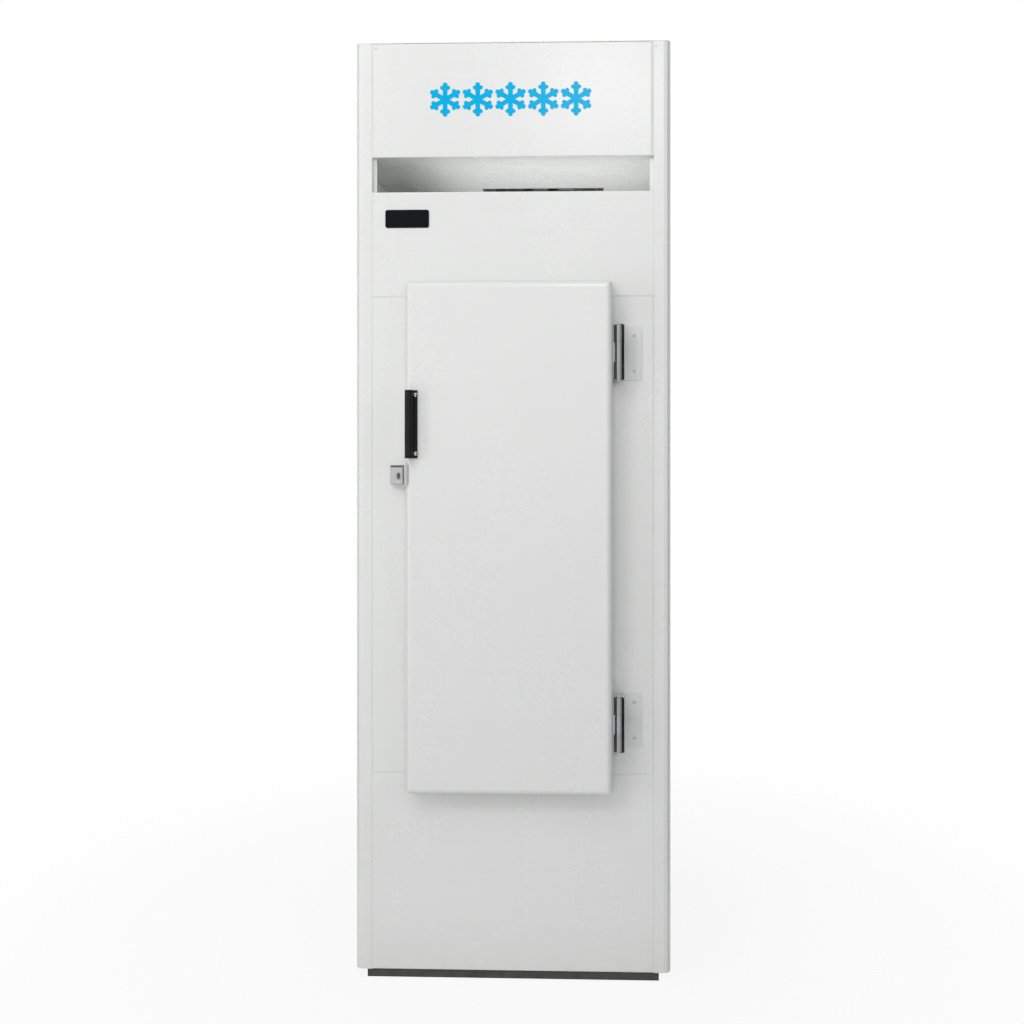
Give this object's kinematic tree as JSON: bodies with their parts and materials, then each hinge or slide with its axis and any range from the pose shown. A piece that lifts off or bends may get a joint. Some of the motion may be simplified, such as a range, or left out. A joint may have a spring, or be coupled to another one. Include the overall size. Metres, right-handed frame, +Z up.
{
  "type": "bagged ice freezer",
  "caption": "Tall upright freezer for bagged ice with a solid hinged door, a key lock, an air slot under the header and a condensing unit on top.",
  "frame": {"origin": "on the floor under the middle of the whole freezer's box", "axes": "+Z up, the door's front faces -Y, +X to the right as seen from the front"},
  "size_m": [0.69, 0.806, 2.05],
  "materials": {
    "white_enamel": "gloss",
    "white_plastic": "satin",
    "grey_plastic": "matte",
    "black_plastic": "satin",
    "black_enamel": "satin",
    "pale_foam": "matte",
    "zinc_sheet": "satin",
    "bright_chrome": "polished",
    "satin_steel": "satin",
    "copper": "satin",
    "aluminium": "satin",
    "black_rubber": "matte",
    "pale_rubber": "matte"
  },
  "bodies": {
    "cabinet": {"base_frame": "black_enamel", "bottom_pan": "zinc_sheet", "side_panel_left": "white_enamel", "side_panel_right": "white_enamel", "roof_sheet": "white_enamel", "lower_front_panel": "white_enamel", "upper_front_panel": "white_enamel", "header_panel": "white_enamel", "front_stile_left": "white_enamel", "front_stile_right": "white_enamel", "rear_panel": "zinc_sheet", "top_cover": "white_enamel", "cabinet_foam": "pale_foam", "inner_liner": "white_plastic", "breaker_frame": "white_plastic", "floor_rack": "white_enamel", "hinge_frame_leaf_upper": "satin_steel", "hinge_frame_leaf_lower": "satin_steel", "hinge_pin_upper": "bright_chrome", "hinge_pin_lower": "bright_chrome", "lock_case": "bright_chrome", "machine_deck": "white_enamel", "compressor": "black_enamel", "compressor_grommet_1": "black_rubber", "compressor_grommet_2": "black_rubber", "compressor_grommet_3": "black_rubber", "compressor_grommet_4": "black_rubber", "condenser_coil": "aluminium", "condenser_shroud": "zinc_sheet", "condenser_fan_motor": "satin_steel", "discharge_line": "copper", "condenser_outlet_line": "copper", "filter_drier": "copper", "liquid_line": "copper", "suction_line": "copper", "rear_grille": "zinc_sheet", "control_box": "grey_plastic", "cable_gland": "black_plastic", "evaporator_coil": "aluminium", "evaporator_housing": "white_enamel", "evaporator_fan_motor": "satin_steel", "drip_tray": "white_enamel", "drain_tube": "white_plastic"},
    "door": {"door_skin": "white_enamel", "door_foam": "pale_foam", "door_liner": "white_plastic", "door_gasket": "pale_rubber", "door_handle": "black_plastic", "handle_screw_lower": "bright_chrome", "handle_screw_upper": "bright_chrome", "door_strike": "satin_steel", "hinge_door_leaf_upper": "bright_chrome", "hinge_door_leaf_lower": "bright_chrome"},
    "key_plug": {"lock_plug": "bright_chrome"},
    "bolt": {"lock_bolt": "satin_steel"},
    "condenser_rotor": {"condenser_fan": "black_plastic"},
    "evaporator_rotor": {"evaporator_fan": "black_plastic"},
    "knob": {"thermostat_knob": "black_plastic"},
    "rocker": {"power_switch": "black_plastic"}
  },
  "joints": [
    {"name": "door_swing", "type": "hinge", "parent": "cabinet", "child": "door", "pos_m": [0.2325, -0.351, 0.969], "axis": [0, 0, 1], "range_deg": [0, 165]},
    {"name": "key_turn", "type": "hinge", "parent": "cabinet", "child": "key_plug", "pos_m": [-0.24622, -0.3345, 1.1019], "axis": [0, 1, 0], "range_deg": [0, 90]},
    {"name": "bolt_slide", "type": "slide", "parent": "cabinet", "child": "bolt", "axis": [1, 0, 0], "range_m": [0, 0.0079]},
    {"name": "condenser_fan_spin", "type": "hinge", "parent": "cabinet", "child": "condenser_rotor", "pos_m": [0.05, 0.28755, 1.899], "axis": [0, 1, 0], "continuous": true},
    {"name": "evaporator_fan_spin", "type": "hinge", "parent": "cabinet", "child": "evaporator_rotor", "pos_m": [0, 0.0103, 1.5784], "axis": [0, 1, 0], "continuous": true},
    {"name": "thermostat_turn", "type": "hinge", "parent": "cabinet", "child": "knob", "pos_m": [-0.235, 0.3875, 1.9204], "axis": [0, 1, 0], "range_deg": [0, 270]},
    {"name": "switch_rock", "type": "hinge", "parent": "cabinet", "child": "rocker", "pos_m": [-0.235, 0.383, 1.8632], "axis": [1, 0, 0], "range_deg": [0, 16]}
  ],
  "couplings": [
    {"joint": "bolt_slide", "follows": "key_turn", "m_per_rad": 0.005029}
  ]
}
